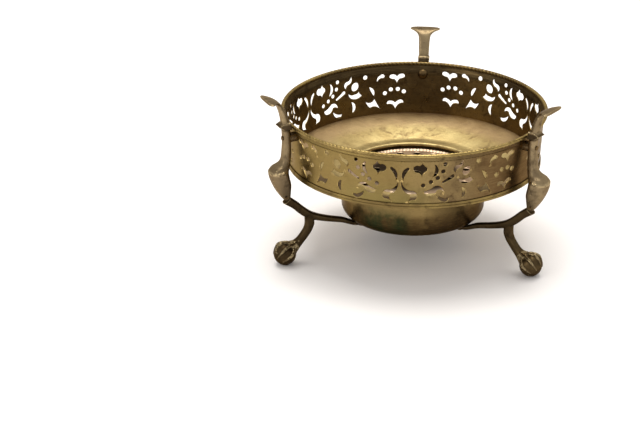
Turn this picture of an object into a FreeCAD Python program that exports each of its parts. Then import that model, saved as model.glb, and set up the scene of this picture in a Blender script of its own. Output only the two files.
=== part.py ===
"""Brass table brazier, millimetres, +Z up, origin on the bowl's axis at floor level.

A pierced gallery stands on a dished floor with a fire pot hung under its middle.  A pierced grate lifts out of
the pot.  Three cast legs, a third of a turn apart, carry it: each has a claw foot and a strut under the pot
below, and above them a leaf knee, an upright bar beside the rim and a fan that holds up a plate.
"""
import FreeCAD, Part
import math
import os
import re

import Sketcher
from FreeCAD import Placement, Rotation, Vector

doc = FreeCAD.newDocument("table_brazier")

# ---------------------------------------------------------------- driving dimensions
# A row that starts with = follows from the rows above it.
SIZES = [
    ("rim_radius", 108.0, "outside of the rope bead on the rim"),
    ("rim_height", 120.2, "top of the rope bead"),
    ("bead_radius", 1.6, "section of the rope bead"),
    ("bead_seat_drop", 1.2, "flat seat of the bead, below its centre"),
    ("flare_height", 8.0, "depth below the rim's top at which the gallery starts to flare"),
    ("foot_inset", 5.3, "gallery's foot inside the rim, on the radius"),
    ("mouth_inset", 3.2, "start of the gallery's flare inside the rim, on the radius"),
    ("gallery_foot_radius", "=rim_radius - foot_inset", "outside of the gallery at the floor"),
    ("gallery_mouth_radius", "=rim_radius - mouth_inset", "outside of the gallery where the flare starts"),
    ("gallery_wall", 1.0, "gallery sheet"),
    ("rim_line_proud", 0.7, "raised line under the rope bead"),
    ("band_height", 2.8, "base band, above the floor's edge"),
    ("band_thickness", 1.0, "base band"),
    ("floor_height", 75.2, "top of the floor's outer edge"),
    ("floor_wall", 1.2, "floor sheet"),
    ("dish_curve", 235.0, "radius of the floor's dishing"),
    ("dish_depth", 9.5, "flat of the floor round the pot, below the floor's edge"),
    ("lip_height", "=floor_height - dish_depth", "top of the floor round the pot"),
    ("pot_radius", 58.9, "outside of the fire pot"),
    ("lip_overhang", 4.7, "rolled lip inside the pot's outside, on the radius"),
    ("lip_radius", "=pot_radius - lip_overhang", "clear opening into the pot"),
    ("lip_bead", 1.5, "section of the rolled lip"),
    ("pot_wall", 1.2, "fire pot sheet"),
    ("pot_base_height", 27.5, "underside of the pot"),
    ("pot_corner", 9.5, "outside radius of the pot's bottom edge"),
    ("pot_flange", 4.1, "width of the pot's flange under the floor"),
    ("ledge_drop", 8.7, "underside of the grate ledge, below the flat of the floor"),
    ("ledge_height", "=lip_height - ledge_drop", "underside of the grate ledge"),
    ("ledge_thickness", 1.5, "grate ledge ring"),
    ("ledge_overlap", 3.6, "width of grate carried by the ledge"),
    ("grate_clearance", 0.6, "grate inside the lip, on the radius"),
    ("grate_thickness", 1.8, "grate plate"),
    ("grate_rim_rise", 1.0, "raised edge of the grate"),
    ("finger_hole", 7.0, "radius of the lifting hole in the grate"),
    ("air_hole", 2.8, "radius of the grate's air holes"),
    ("bar_gap", 0.9, "rope bead to the upright bar"),
    ("bar_depth", 6.2, "upright bar, front to back"),
    ("bar_width", 8.6, "upright bar, side to side"),
    ("knee_width", 18.0, "leaf knee, side to side"),
    ("fan_width", 25.8, "end edge of the plate rest"),
    ("fan_reach", 17.7, "end edge of the plate rest, outwards from the bar"),
    ("fan_rise", 23.2, "end edge of the plate rest, above the rim"),
    ("rivet_drop", 10.2, "gallery rivet below the rim's top"),
    ("lug_radius", 4.0, "round lug between bar and gallery"),
    ("shank_radius", 1.8, "gallery rivet shank"),
    ("dome_radius", 4.2, "gallery rivet head"),
    ("dome_height", 2.2, "gallery rivet head"),
    ("knee_drop", 18.2, "joint of knee and claw leg, below the floor's edge"),
    ("tenon_radius", 1.9, "tenon on the claw leg"),
    ("tenon_length", 9.0, "tenon on the claw leg"),
    ("tenon_clearance", 0.05, "tenon in its socket, on the radius"),
    ("pin_radius", 1.0, "pin across the tenon"),
    ("limb_width", 6.6, "claw leg and strut, side to side"),
    ("crotch_inset", 19.5, "fork of the claw leg, inwards from the bar"),
    ("crotch_rise", 12.5, "fork of the claw leg, above the pot's underside"),
    ("crotch_height", "=pot_base_height + crotch_rise", "fork of the claw leg"),
    ("pad_thickness", 4.1, "strut's pad under the pot"),
    ("pad_radius", 3.6, "strut's pad under the pot"),
    ("pot_rivet_inset", 2.9, "strut rivet, inwards from the pot's corner"),
    ("pot_rivet_shank", 1.7, "strut rivet"),
    ("pot_rivet_head", 2.8, "strut rivet head"),
    ("pot_rivet_rise", 1.3, "strut rivet head"),
    ("foot_offset", 2.5, "foot, outwards from the bar"),
    ("ball_radius", 9.6, "ball of the foot"),
    ("ball_flat", 0.4, "height cut off the ball where it stands"),
    ("talon_radius", 1.7, "section of a talon"),
    ("front_panel_angle", 268.2, "middle of the front pierced panel, degrees"),
    ("left_panel_angle", 152.2, "middle of the left pierced panel, degrees"),
    ("right_panel_angle", 27.0, "middle of the right pierced panel, degrees"),
    ("front_panel_lift", -0.4, "hand-cut pattern, up or down"),
    ("left_panel_lift", -1.4, "hand-cut pattern, up or down"),
    ("right_panel_lift", 1.6, "hand-cut pattern, up or down"),
]

sheet = doc.addObject("Spreadsheet::Sheet", "sizes")
for row, (alias, number, meaning) in enumerate(SIZES, start=1):
    sheet.set(f"A{row}", alias)
    sheet.set(f"B{row}", str(number))
    sheet.set(f"C{row}", meaning)
    sheet.setAlias(f"B{row}", alias)
doc.recompute()

ALIASES = {alias for alias, number, meaning in SIZES}
LEGS = {"back": 90, "left": 210, "right": 330}
PANELS = ("front", "left", "right")


def bound(formula):
    """A formula in the sheet's words, written as an expression that other objects understand."""
    return re.sub(r"[a-z_]+", lambda word: "sizes." + word[0] if word[0] in ALIASES else word[0], formula)


def size(formula):
    """The number that a formula in the sheet's words stands for."""
    return float(sheet.evalExpression(bound(formula)))


# ---------------------------------------------------------------- sheets and rings turned about an axis
def origin_plane(body, role):
    return next(feature for feature in body.Origin.OriginFeatures if feature.Role == role)


def arc_middle(start, end, radius, side):
    """Point half way along the short arc from start to end that bulges left (1) or right (-1)."""
    chord = end - start
    rise = radius - math.sqrt(max(radius**2 - (chord.Length / 2) ** 2, 0))
    across = Vector(-chord.y, chord.x, 0).normalize()
    return (start + end) / 2 + across * (rise * side)


def hold_point(sketch, index, position, x, z):
    """Tie a sketch point to the origin by two formulas."""
    for kind, formula, axis in (("DistanceX", x, -2), ("DistanceY", z, -1)):
        if abs(size(formula)) < 1e-9:
            sketch.addConstraint(Sketcher.Constraint("PointOnObject", index, position, axis))
            continue
        number = sketch.addConstraint(Sketcher.Constraint(kind, -1, 1, index, position, size(formula)))
        sketch.setExpression(f"Constraints[{number}]", bound(formula))


def draw_section(body, name, points, arcs):
    """Closed outline in the body's XZ plane.  A span in arcs is round: (radius formula, side it bulges to)."""
    sketch = body.newObject("Sketcher::SketchObject", name)
    sketch.AttachmentSupport = [(origin_plane(body, "XZ_Plane"), "")]
    sketch.MapMode = "FlatFace"
    corners = [Vector(size(x), size(z), 0) for x, z in points]
    ends = []
    for index, start in enumerate(corners):
        end = corners[(index + 1) % len(corners)]
        if index in arcs:
            radius, side = arcs[index]
            middle = arc_middle(start, end, size(radius), side)
            sketch.addGeometry(Part.Arc(start, middle, end), False)
        else:
            sketch.addGeometry(Part.LineSegment(start, end), False)
        forward = sketch.getPoint(index, 1).distanceToPoint(start) < 1e-6
        ends.append((1, 2) if forward else (2, 1))
    for index, (x, z) in enumerate(points):
        following = (index + 1) % len(points)
        join = Sketcher.Constraint("Coincident", index, ends[index][1], following, ends[following][0])
        sketch.addConstraint(join)
        hold_point(sketch, index, ends[index][0], x, z)
    for index, (radius, side) in arcs.items():
        number = sketch.addConstraint(Sketcher.Constraint("Radius", index, size(radius)))
        sketch.setExpression(f"Constraints[{number}]", bound(radius))
    return sketch


def turned(name, points, arcs=None):
    """A body turned about its Z axis from a section."""
    body = doc.addObject("PartDesign::Body", name)
    sketch = draw_section(body, name + "_section", points, arcs or {})
    turn = body.newObject("PartDesign::Revolution", name + "_turn")
    turn.Profile = sketch
    turn.ReferenceAxis = (sketch, ["V_Axis"])
    turn.Angle = 360
    doc.recompute()
    if body.Shape.isNull() or not body.Shape.isValid():
        raise RuntimeError(f"{name} has no valid shape")
    return body


def drill(body, name, hole_radius, circle_radius, count):
    """Cut count round holes through a body, evenly spaced, the first one on the +Y side."""
    before = body.Shape.Volume
    sketch = body.newObject("Sketcher::SketchObject", name + "_sketch")
    sketch.AttachmentSupport = [(origin_plane(body, "XY_Plane"), "")]
    sketch.MapMode = "FlatFace"
    centre = Vector(0, size(circle_radius), 0)
    sketch.addGeometry(Part.Circle(centre, Vector(0, 0, 1), size(hole_radius)), False)
    sketch.addConstraint(Sketcher.Constraint("PointOnObject", 0, 3, -2))
    if size(circle_radius) == 0:
        sketch.addConstraint(Sketcher.Constraint("PointOnObject", 0, 3, -1))
    else:
        number = sketch.addConstraint(Sketcher.Constraint("DistanceY", -1, 1, 0, 3, size(circle_radius)))
        sketch.setExpression(f"Constraints[{number}]", bound(circle_radius))
    number = sketch.addConstraint(Sketcher.Constraint("Radius", 0, size(hole_radius)))
    sketch.setExpression(f"Constraints[{number}]", bound(hole_radius))
    pocket = body.newObject("PartDesign::Pocket", name)
    pocket.Profile = sketch
    pocket.Type = "ThroughAll"
    pocket.Midplane = True
    doc.recompute()
    one_hole = before - body.Shape.Volume
    if count > 1:
        pattern = body.newObject("PartDesign::PolarPattern", name + "_pattern")
        pattern.Originals = [pocket]
        pattern.Axis = (origin_plane(body, "Z_Axis"), "")
        pattern.Angle = 360
        pattern.Occurrences = count
        body.Tip = pattern
        doc.recompute()
    if abs(before - body.Shape.Volume - count * one_hole) > 0.01 * one_hole or one_hole <= 0:
        raise RuntimeError(f"{name}: the holes did not all cut")


# The gallery sheet leans out a little, carries a raised line and flares to the bead's seat.
gallery_sheet = turned(
    "gallery_sheet",
    [
        ("gallery_foot_radius", "floor_height"),
        ("gallery_mouth_radius", "rim_height - flare_height"),
        ("gallery_mouth_radius + rim_line_proud", "rim_height - flare_height + 2.0"),
        ("gallery_mouth_radius + rim_line_proud + 0.3", "rim_height - flare_height + 3.4"),
        ("rim_radius - bead_radius + 0.2", "rim_height - bead_radius - bead_seat_drop"),
        ("rim_radius - bead_radius + 0.2 - gallery_wall", "rim_height - bead_radius - bead_seat_drop"),
        ("gallery_mouth_radius - gallery_wall", "rim_height - flare_height"),
        ("gallery_foot_radius - gallery_wall", "floor_height"),
    ],
    {2: ("rim_line_proud + 0.2", -1)},
)

# A D-shaped ring of narrow flats: the bead sits on the sheet's top edge.
BEAD_FLATS = 14
BEAD_SEAT_ANGLE = math.degrees(math.acos(size("bead_seat_drop / bead_radius")))
BEAD_STEP = (360 - 2 * BEAD_SEAT_ANGLE) / BEAD_FLATS
bead_points = []
for step in range(BEAD_FLATS + 1):
    turn = math.radians(BEAD_SEAT_ANGLE - 90 + step * BEAD_STEP)
    bead_points.append(
        (
            f"rim_radius - bead_radius + bead_radius * ({math.cos(turn):.6f})",
            f"rim_height - bead_radius + bead_radius * ({math.sin(turn):.6f})",
        )
    )
rope_rim_bead = turned("rope_rim_bead", bead_points)

# The band covers the seam of floor and gallery, and an incised line runs round it.
WALL_LEAN = "(gallery_mouth_radius - gallery_foot_radius) / (rim_height - flare_height - floor_height)"
base_band = turned(
    "base_band",
    [
        ("gallery_foot_radius", "floor_height - floor_wall"),
        ("gallery_foot_radius + band_thickness", "floor_height - floor_wall"),
        ("gallery_foot_radius + band_thickness", "floor_height + 0.4"),
        ("gallery_foot_radius + band_thickness - 0.4", "floor_height + 0.7"),
        ("gallery_foot_radius + band_thickness", "floor_height + 1.0"),
        ("gallery_foot_radius + band_thickness", "floor_height + band_height"),
        (f"gallery_foot_radius + band_height * {WALL_LEAN}", "floor_height + band_height"),
        ("gallery_foot_radius", "floor_height"),
    ],
)

# The floor dishes down to a flat round the pot and ends in a rolled lip.
dished_floor = turned(
    "dished_floor",
    [
        ("gallery_foot_radius", "floor_height"),
        ("gallery_foot_radius - gallery_wall - 0.6", "floor_height"),
        ("pot_radius + pot_flange + 0.5", "lip_height"),
        ("lip_radius + lip_bead", "lip_height"),
        ("lip_radius", "lip_height - lip_bead"),
        ("lip_radius + lip_bead", "lip_height - 2 * lip_bead"),
        ("lip_radius + 2 * lip_bead", "lip_height - lip_bead"),
        ("lip_radius + 2 * lip_bead", "lip_height - floor_wall"),
        ("pot_radius + pot_flange + 0.5", "lip_height - floor_wall"),
        ("gallery_foot_radius - gallery_wall - 0.6", "floor_height - floor_wall"),
        ("gallery_foot_radius", "floor_height - floor_wall"),
    ],
    {
        1: ("dish_curve", -1),
        3: ("lip_bead", -1),
        4: ("lip_bead", -1),
        5: ("lip_bead", -1),
        8: ("dish_curve", 1),
    },
)

# The pot hangs by a flange under the floor.
fire_pot = turned(
    "fire_pot",
    [
        ("pot_radius - pot_wall", "lip_height - floor_wall"),
        ("pot_radius + pot_flange", "lip_height - floor_wall"),
        ("pot_radius + pot_flange", "lip_height - floor_wall - pot_wall"),
        ("pot_radius", "lip_height - floor_wall - pot_wall"),
        ("pot_radius", "pot_base_height + pot_corner"),
        ("pot_radius - pot_corner", "pot_base_height"),
        ("0", "pot_base_height"),
        ("0", "pot_base_height + pot_wall"),
        ("pot_radius - pot_corner", "pot_base_height + pot_wall"),
        ("pot_radius - pot_wall", "pot_base_height + pot_corner"),
    ],
    {4: ("pot_corner", 1), 8: ("pot_corner - pot_wall", -1)},
)
POT_RIVET_CIRCLE = "pot_radius - pot_corner - pot_rivet_inset"
drill(fire_pot, "pot_rivet_holes", "pot_rivet_shank", POT_RIVET_CIRCLE, len(LEGS))

# A ring inside the pot carries the grate, which is small enough to pass the lip.
GRATE_RADIUS = "lip_radius - grate_clearance"
GRATE_SEAT = "ledge_height + ledge_thickness"
grate_ledge_ring = turned(
    "grate_ledge_ring",
    [
        (f"{GRATE_RADIUS} - ledge_overlap", "ledge_height"),
        ("pot_radius - pot_wall", "ledge_height"),
        ("pot_radius - pot_wall", GRATE_SEAT),
        (f"{GRATE_RADIUS} - ledge_overlap", GRATE_SEAT),
    ],
)
fire_grate = turned(
    "fire_grate",
    [
        ("0", GRATE_SEAT),
        (GRATE_RADIUS, GRATE_SEAT),
        (GRATE_RADIUS, f"{GRATE_SEAT} + grate_thickness + grate_rim_rise"),
        (f"{GRATE_RADIUS} - 2.0", f"{GRATE_SEAT} + grate_thickness + grate_rim_rise"),
        (f"{GRATE_RADIUS} - 2.6", f"{GRATE_SEAT} + grate_thickness"),
        ("0", f"{GRATE_SEAT} + grate_thickness"),
    ],
)
GRATE_FIELD = f"({GRATE_RADIUS} - ledge_overlap - air_hole - finger_hole)"
drill(fire_grate, "lifting_hole", "finger_hole", "0", 1)
for ring, count in ((1, 8), (2, 14), (3, 20)):
    circle = f"finger_hole + {GRATE_FIELD} * (0.333 * {ring} - 0.06)"
    drill(fire_grate, f"air_holes_{ring}", "air_hole", circle, count)


# ---------------------------------------------------------------- castings, made along a leg that points to +X
BAR = size("rim_radius + bar_gap + bar_depth / 2")
KNEE_LEAN = 38
SECTION_POINTS = 16


def stand(shape, angle):
    """The shape turned about the bowl's axis to a leg's place."""
    return shape.rotated(Vector(0, 0, 0), Vector(0, 0, 1), angle)


def station_wire(x, z, lean, depth, width, squareness):
    """Rounded outline across a limb: lean is the limb's way in degrees from upright, outwards positive."""
    turn = math.radians(lean)
    across = Vector(math.cos(turn), 0, -math.sin(turn))
    points = []
    for step in range(SECTION_POINTS):
        angle = 2 * math.pi * step / SECTION_POINTS
        along_depth = math.copysign(abs(math.cos(angle)) ** (2 / squareness), math.cos(angle))
        along_width = math.copysign(abs(math.sin(angle)) ** (2 / squareness), math.sin(angle))
        offset = across * (along_depth * depth / 2) + Vector(0, along_width * width / 2, 0)
        points.append(Vector(x, 0, z) + offset)
    curve = Part.BSplineCurve()
    curve.interpolate(points, PeriodicFlag=True)
    return Part.Wire(curve.toShape())


def limb(stations, squareness=2.6):
    """Solid drawn smoothly through stations of (x, z, lean, depth, width)."""
    return Part.makeLoft([station_wire(*station, squareness) for station in stations], True, False)


def wall_rivet_axis():
    return size("rim_height - rivet_drop")


def knee_joint():
    """Centre of the joint between knee and claw leg, and the tenon's direction."""
    lean = math.radians(KNEE_LEAN)
    return Vector(BAR - 0.3, 0, size("floor_height - knee_drop")), Vector(math.sin(lean), 0, math.cos(lean))


def tenon_rod(radius, length):
    base, way = knee_joint()
    return Part.makeCylinder(radius, length, base, way)


def knee_pin_rod(length):
    base, way = knee_joint()
    middle = base + way * (size("tenon_length") / 2)
    return Part.makeCylinder(size("pin_radius"), length, middle - Vector(0, length / 2, 0), Vector(0, 1, 0))


def plate_rest_shape():
    """Leaf knee, upright bar, spurred collar and fan, with a lug that meets the gallery."""
    floor = size("floor_height")
    rim = size("rim_height")
    width = size("bar_width")
    depth = size("bar_depth")
    knee = size("knee_width")
    fan = size("fan_width")
    reach = size("fan_reach")
    rise = size("fan_rise")
    joint, way = knee_joint()
    body = limb(
        [
            (joint.x, joint.z, KNEE_LEAN, 0.9 * depth, 0.7 * width),
            (BAR + 1.8, floor - 12.5, 26, 1.55 * depth, 0.62 * knee),
            (BAR + 3.9, floor - 5.6, 14, 2.15 * depth, 0.84 * knee),
            (BAR + 6.3, floor + 1.6, 6, 2.38 * depth, 0.97 * knee),
            (BAR + 7.0, floor + 6.4, 0, 2.34 * depth, knee),
            (BAR + 5.8, floor + 9.6, -6, 2.1 * depth, 0.94 * knee),
            (BAR + 2.9, floor + 12.6, -8, 1.5 * depth, 0.72 * knee),
            (BAR + 1.0, floor + 16.6, -5, 1.24 * depth, 1.12 * width),
            (BAR + 0.2, floor + 24.0, 0, 1.16 * depth, width),
            (BAR, rim - 13.0, 0, depth, width),
            (BAR + 0.4, rim - 5.0, 4, 0.95 * depth, width),
            (BAR + 1.3, rim + 3.5, 8, 0.95 * depth, width),
            (BAR + 0.16 * reach, rim + 0.44 * rise, 18, 0.8 * depth, 1.05 * width),
            (BAR + 0.31 * reach, rim + 0.7 * rise, 34, 0.64 * depth, 0.42 * fan),
            (BAR + 0.5 * reach, rim + 0.88 * rise, 54, 0.5 * depth, 0.6 * fan),
            (BAR + 0.75 * reach, rim + 0.97 * rise, 74, 0.38 * depth, 0.85 * fan),
            (BAR + reach, rim + rise, 84, 0.28 * depth, fan),
        ]
    )
    collar_points = [(-3.3, -2.8), (3.8, -2.2), (7.4, 0.6), (4.0, 2.8), (-2.0, 3.4)]
    corners = [Vector(BAR + x, -0.53 * width, rim + z) for x, z in collar_points]
    collar = Part.Face(Part.makePolygon(corners + corners[:1])).extrude(Vector(0, 1.06 * width, 0))
    lug_start = size("gallery_foot_radius") + 0.3
    height = wall_rivet_axis()
    lug = Part.makeCylinder(size("lug_radius"), BAR - lug_start, Vector(lug_start, 0, height), Vector(1, 0, 0))
    casting = body.fuse([collar, lug]).cut([gallery_core(), gallery_sheet.Shape])
    shank = Part.makeCylinder(size("shank_radius"), 40, Vector(BAR - 20, 0, height), Vector(1, 0, 0))
    socket = tenon_rod(size("tenon_radius + tenon_clearance"), size("tenon_length") + 0.3)
    return casting.cut([shank, socket, knee_pin_rod(size("knee_width"))]).removeSplitter()


def gallery_core():
    """Everything inside the gallery's outer face below the flare: it shapes the lug's end with the sheet."""
    foot = Vector(size("gallery_foot_radius"), 0, size("floor_height"))
    mouth = Vector(size("gallery_mouth_radius"), 0, size("rim_height - flare_height"))
    slope = (mouth - foot) * 1.2
    low, high = foot, foot + slope
    outline = [Vector(0, 0, low.z), low, high, Vector(0, 0, high.z)]
    return Part.Face(Part.makePolygon(outline + outline[:1])).revolve(Vector(), Vector(0, 0, 1), 360)


def claw_leg_shape():
    """Forked casting: a limb from the knee runs on as the strut, and a lower limb ends in a ball and claw."""
    width = size("limb_width")
    joint, way = knee_joint()
    fork = Vector(BAR - size("crotch_inset"), 0, size("crotch_height"))
    rivet_x = size(POT_RIVET_CIRCLE)
    pot_base = size("pot_base_height")
    pot_side = size("pot_radius")
    strut = limb(
        [
            (joint.x, joint.z, KNEE_LEAN, 6.4, 0.95 * width),
            (0.68 * joint.x + 0.32 * fork.x, 0.68 * joint.z + 0.32 * fork.z - 0.5, 43, 6.6, width),
            (0.36 * joint.x + 0.64 * fork.x, 0.36 * joint.z + 0.64 * fork.z - 0.9, 50, 6.8, width),
            (fork.x, fork.z, 62, 6.4, width),
            (fork.x - 8.0, 0.66 * fork.z + 0.34 * pot_base + 0.8, 72, 5.4, 0.92 * width),
            (0.5 * (fork.x + pot_side) - 1.0, 0.5 * (fork.z + pot_base) - 0.3, 75, 4.8, 0.85 * width),
            (pot_side + 5.0, pot_base + 3.0, 72, 4.4, 0.85 * width),
            (pot_side - 2.6, pot_base - 0.3, 72, 4.0, 0.85 * width),
            (0.5 * (pot_side + rivet_x) - 1.0, pot_base - 1.9, 82, 3.6, 0.85 * width),
            (rivet_x, pot_base - 2.1, 90, 3.4, 0.85 * width),
        ]
    )
    ball = Vector(BAR + size("foot_offset"), 0, size("ball_radius - ball_flat"))
    lower = limb(
        [
            (fork.x + 2.0, fork.z + 2.0, -35, 6.2, 0.9 * width),
            (fork.x + 0.2, fork.z - 5.8, -8, 7.8, width),
            (0.86 * fork.x + 0.14 * ball.x - 1.4, 0.62 * fork.z + 0.38 * ball.z, -22, 7.0, width),
            (0.7 * fork.x + 0.3 * ball.x - 0.8, 0.43 * fork.z + 0.57 * ball.z, -42, 6.4, width),
            (0.48 * fork.x + 0.52 * ball.x - 0.6, 0.26 * fork.z + 0.74 * ball.z, -52, 7.0, 1.1 * width),
            (0.28 * fork.x + 0.72 * ball.x, 0.16 * fork.z + 0.84 * ball.z, -58, 9.6, 1.5 * width),
            (0.1 * fork.x + 0.9 * ball.x, 0.07 * fork.z + 0.93 * ball.z, -62, 12.4, 1.9 * width),
        ]
    )
    foot = claw_foot(ball)
    pad_base = Vector(rivet_x, 0, pot_base - size("pad_thickness"))
    pad = Part.makeCylinder(size("pad_radius"), size("pad_thickness"), pad_base)
    tenon = tenon_rod(size("tenon_radius"), size("tenon_length"))
    below_floor = Part.makeBox(80, 80, 20, Vector(ball.x - 40, -40, -20))
    shank = Part.makeCylinder(size("pot_rivet_shank"), 20, pad_base - Vector(0, 0, 5))
    casting = strut.fuse([lower, foot, pad, tenon])
    return casting.cut([below_floor, shank, knee_pin_rod(2 * width), fire_pot.Shape]).removeSplitter()


def claw_foot(ball):
    """A ball held by four talons, three of them in front."""
    radius = size("ball_radius")
    talon = size("talon_radius")
    shape = Part.makeSphere(radius, ball)
    for turn in (-55, 0, 55, 180):
        top = ball + Vector(0, 0, radius - 0.35 * talon)
        circle = Part.makeCircle(talon, top, Vector(1, 0, 0))
        sweep = Part.Face(Part.Wire(circle)).revolve(ball, Vector(0, 1, 0), 112)
        tip_angle = math.radians(112)
        reach = radius - 0.35 * talon
        tip = Part.makeSphere(talon, ball + Vector(math.sin(tip_angle) * reach, 0, math.cos(tip_angle) * reach))
        shape = shape.fuse([part.rotated(ball, Vector(0, 0, 1), turn) for part in (sweep, tip)])
    return shape


def gallery_rivet_shape():
    """Domed head inside the gallery, shank through sheet, lug and bar, tail left a little proud."""
    radius, height = size("dome_radius"), size("dome_height")
    ball = (radius**2 + height**2) / (2 * height)
    seat = size("gallery_foot_radius + 0.5 * (gallery_mouth_radius - gallery_foot_radius)")
    inside = seat - size("gallery_wall") + 0.3
    axis = wall_rivet_axis()
    dome = Part.makeSphere(ball, Vector(inside - height + ball, 0, axis))
    cap = dome.common(Part.makeCylinder(radius, height + 1.2, Vector(inside - height, 0, axis), Vector(1, 0, 0)))
    tail = BAR + size("bar_depth / 2") + 0.8
    start = inside - 0.5 * height
    shank = Part.makeCylinder(size("shank_radius"), tail - start, Vector(start, 0, axis), Vector(1, 0, 0))
    return cap.cut(gallery_sheet.Shape).fuse(shank).removeSplitter()


def knee_pin_shape():
    return knee_pin_rod(0.66 * size("knee_width"))


def pot_rivet_body(name, angle):
    """Two-headed rivet through the strut's pad and the pot's bottom."""
    curve = "(pot_rivet_head ^ 2 + pot_rivet_rise ^ 2) / (2 * pot_rivet_rise)"
    low = "pot_base_height - pad_thickness"
    high = "pot_base_height + pot_wall"
    body = turned(
        name,
        [
            ("0", f"{low} - pot_rivet_rise"),
            ("pot_rivet_head", low),
            ("pot_rivet_shank", low),
            ("pot_rivet_shank", high),
            ("pot_rivet_head", high),
            ("0", f"{high} + pot_rivet_rise"),
        ],
        {0: (curve, -1), 4: (curve, -1)},
    )
    turn = math.radians(angle)
    reach = size(POT_RIVET_CIRCLE)
    body.Placement = Placement(Vector(reach * math.cos(turn), reach * math.sin(turn), 0), Rotation())
    return body


def feature(name, shape):
    piece = doc.addObject("Part::Feature", name)
    piece.Shape = shape
    return piece


plate_rest = plate_rest_shape()
claw_leg = claw_leg_shape()
gallery_rivet = gallery_rivet_shape()
knee_pin = knee_pin_shape()
pieces = [rope_rim_bead, base_band, dished_floor, fire_pot, grate_ledge_ring, fire_grate]
for side, angle in LEGS.items():
    pieces.append(feature(f"plate_rest_{side}", stand(plate_rest, angle)))
    pieces.append(feature(f"claw_leg_{side}", stand(claw_leg, angle)))
    pieces.append(feature(f"gallery_rivet_{side}", stand(gallery_rivet, angle)))
    pieces.append(feature(f"knee_pin_{side}", stand(knee_pin, angle)))
    pieces.append(pot_rivet_body(f"strut_rivet_{side}", angle))

# ---------------------------------------------------------------- pierced pattern of the gallery
# Half of one panel, the other half being its mirror image.  Each outline goes corner, point on the arc, corner
# and so on, in millimetres along the wall from the panel's middle and up from the floor's edge.
PATTERN_RADIUS = 103.5
PATTERN_HEIGHT = 45.0
PUNCH_MARGIN = 2.0
MOTIFS = {
    "stem": [(7.3, 32.0), (4.5, 27.8), (2.7, 22.9), (2.0, 28.6), (5.3, 33.1), (6.8, 33.4)],
    "scroll_leaf": [
        (1.4, 21.6), (3.6, 16.8), (8.2, 14.0), (13.4, 10.6), (12.0, 6.4),
        (9.4, 6.0), (6.4, 4.8), (8.2, 7.6), (7.6, 10.6), (2.2, 15.2),
    ],
    "tulip": [
        (17.5, 37.7), (16.6, 36.0), (14.9, 34.9), (11.3, 34.5), (10.4, 31.8), (12.0, 29.9), (14.8, 29.3),
        (16.1, 28.2), (17.0, 26.6), (17.9, 28.7), (19.4, 30.1), (21.0, 32.4), (19.3, 34.6), (18.2, 36.0),
    ],
    "tall_crescent": [(26.7, 36.0), (29.8, 30.7), (24.9, 25.3), (27.1, 30.9)],
    "flame_leaf": [
        (48.5, 38.0), (49.1, 34.4), (46.5, 31.6), (44.2, 30.4), (43.2, 28.2), (41.6, 31.4), (44.2, 34.2), (47.1, 35.4),
    ],
    "oval_leaf": [(54.2, 31.9), (55.3, 27.7), (50.1, 25.0), (49.0, 29.3)],
    "hook": [
        (79.4, 34.5), (78.3, 36.5), (75.8, 35.8), (73.1, 33.6), (72.9, 30.0), (74.7, 32.7), (77.4, 33.4), (78.7, 33.6),
    ],
    "club": [
        (33.4, 21.7), (36.8, 23.8), (39.9, 26.1), (42.2, 26.0), (41.5, 23.7), (37.7, 21.7), (33.9, 19.9), (32.4, 20.5),
    ],
    "split_leaf": [
        (45.6, 23.2), (47.4, 19.4), (50.6, 17.8), (55.2, 18.0), (58.4, 20.0),
        (56.4, 21.8), (55.6, 23.8), (53.8, 22.0), (51.6, 21.8), (48.6, 21.4),
    ],
    "side_crescent": [(65.6, 26.2), (69.8, 22.8), (69.6, 18.2), (67.2, 22.2)],
    "vine_leaf": [
        (18.6, 13.4), (22.4, 14.6), (27.2, 17.8), (32.2, 16.8), (34.2, 12.6), (31.6, 14.4),
        (28.8, 14.0), (27.0, 11.2), (23.0, 9.8), (19.8, 11.0),
    ],
    "tail": [(28.9, 10.4), (30.8, 6.0), (34.4, 4.0), (36.8, 4.2), (38.1, 6.6), (33.4, 7.3)],
    "low_crescent": [(48.4, 15.4), (52.2, 10.8), (48.8, 5.8), (49.4, 10.8)],
    "lobed_leaf": [
        (62.2, 13.4), (66.4, 12.2), (70.0, 15.2), (72.2, 10.8), (75.0, 5.8),
        (71.4, 8.4), (66.0, 7.8), (63.8, 10.2),
    ],
    "upper_bird": [
        (83.8, 33.4), (84.4, 35.4), (86.2, 36.0), (88.6, 35.6), (90.2, 34.0), (92.2, 35.8),
        (94.6, 36.4), (96.6, 35.6), (96.8, 33.6), (94.8, 32.6), (92.6, 32.2), (91.2, 30.6),
        (90.2, 28.6), (89.2, 30.6), (88.0, 32.0), (85.8, 32.2),
    ],
    "lower_bird": [
        (81.4, 9.6), (82.2, 12.2), (84.2, 12.6), (86.8, 12.0), (88.6, 10.6), (90.6, 12.2),
        (92.8, 13.2), (95.2, 12.4), (95.8, 10.4), (93.4, 10.2), (91.2, 9.0), (89.8, 7.4),
        (88.8, 5.4), (87.8, 7.4), (86.6, 9.0), (84.2, 9.8),
    ],
}
DOTS = [
    (34.8, 35.9, 1.7), (33.4, 29.8, 1.7), (29.3, 24.5, 1.7), (24.0, 21.4, 1.7), (18.0, 18.6, 1.7),
    (62.0, 35.4, 1.9), (79.6, 19.6, 1.8), (84.9, 22.7, 1.8), (91.0, 22.8, 1.8), (96.2, 20.5, 1.8),
]


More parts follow.
